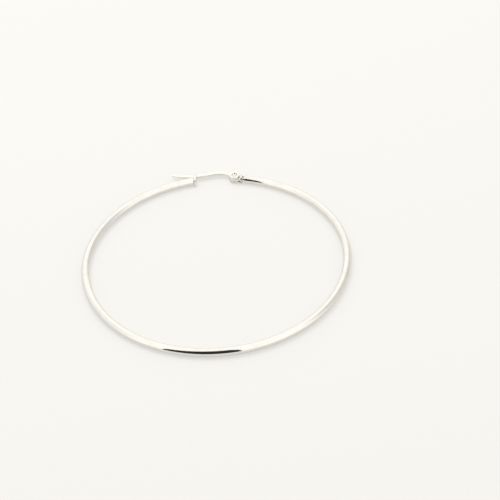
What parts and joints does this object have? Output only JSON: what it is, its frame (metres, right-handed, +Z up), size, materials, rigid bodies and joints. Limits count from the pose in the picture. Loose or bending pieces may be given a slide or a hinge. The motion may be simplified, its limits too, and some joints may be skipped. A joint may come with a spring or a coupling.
{
  "type": "hoop earring",
  "caption": "Large plain hoop earring of round polished steel tube, with a curved hinged ear wire that swings over the opening and drops into a notched catch plate.",
  "frame": {"origin": "on the surface that the earring lies on, under the middle of its outline", "axes": "+Z up, square to the ring's plane; +Y from the ring's middle to the clasp; +X from the catch plate towards the hinge"},
  "size_m": [0.063, 0.0646, 0.002],
  "materials": {
    "tube_metal": "mirror polished stainless steel",
    "fitting_metal": "bright polished stainless steel with fine tool marks",
    "wire_metal": "polished stainless steel with fine lengthwise drawing lines"
  },
  "bodies": {
    "hoop": {"hoop_tube": "tube_metal", "notch_catch": "fitting_metal", "hinge_tongue": "fitting_metal"},
    "wire": {"ear_wire": "wire_metal", "hinge_rivet": "fitting_metal"}
  },
  "joints": [
    {"name": "ear_wire_hinge", "type": "hinge", "parent": "hoop", "child": "wire", "pos_m": [0.0039, 0.02991, 0.001], "axis": [0, 0, -1], "range_deg": [0, 75]}
  ]
}
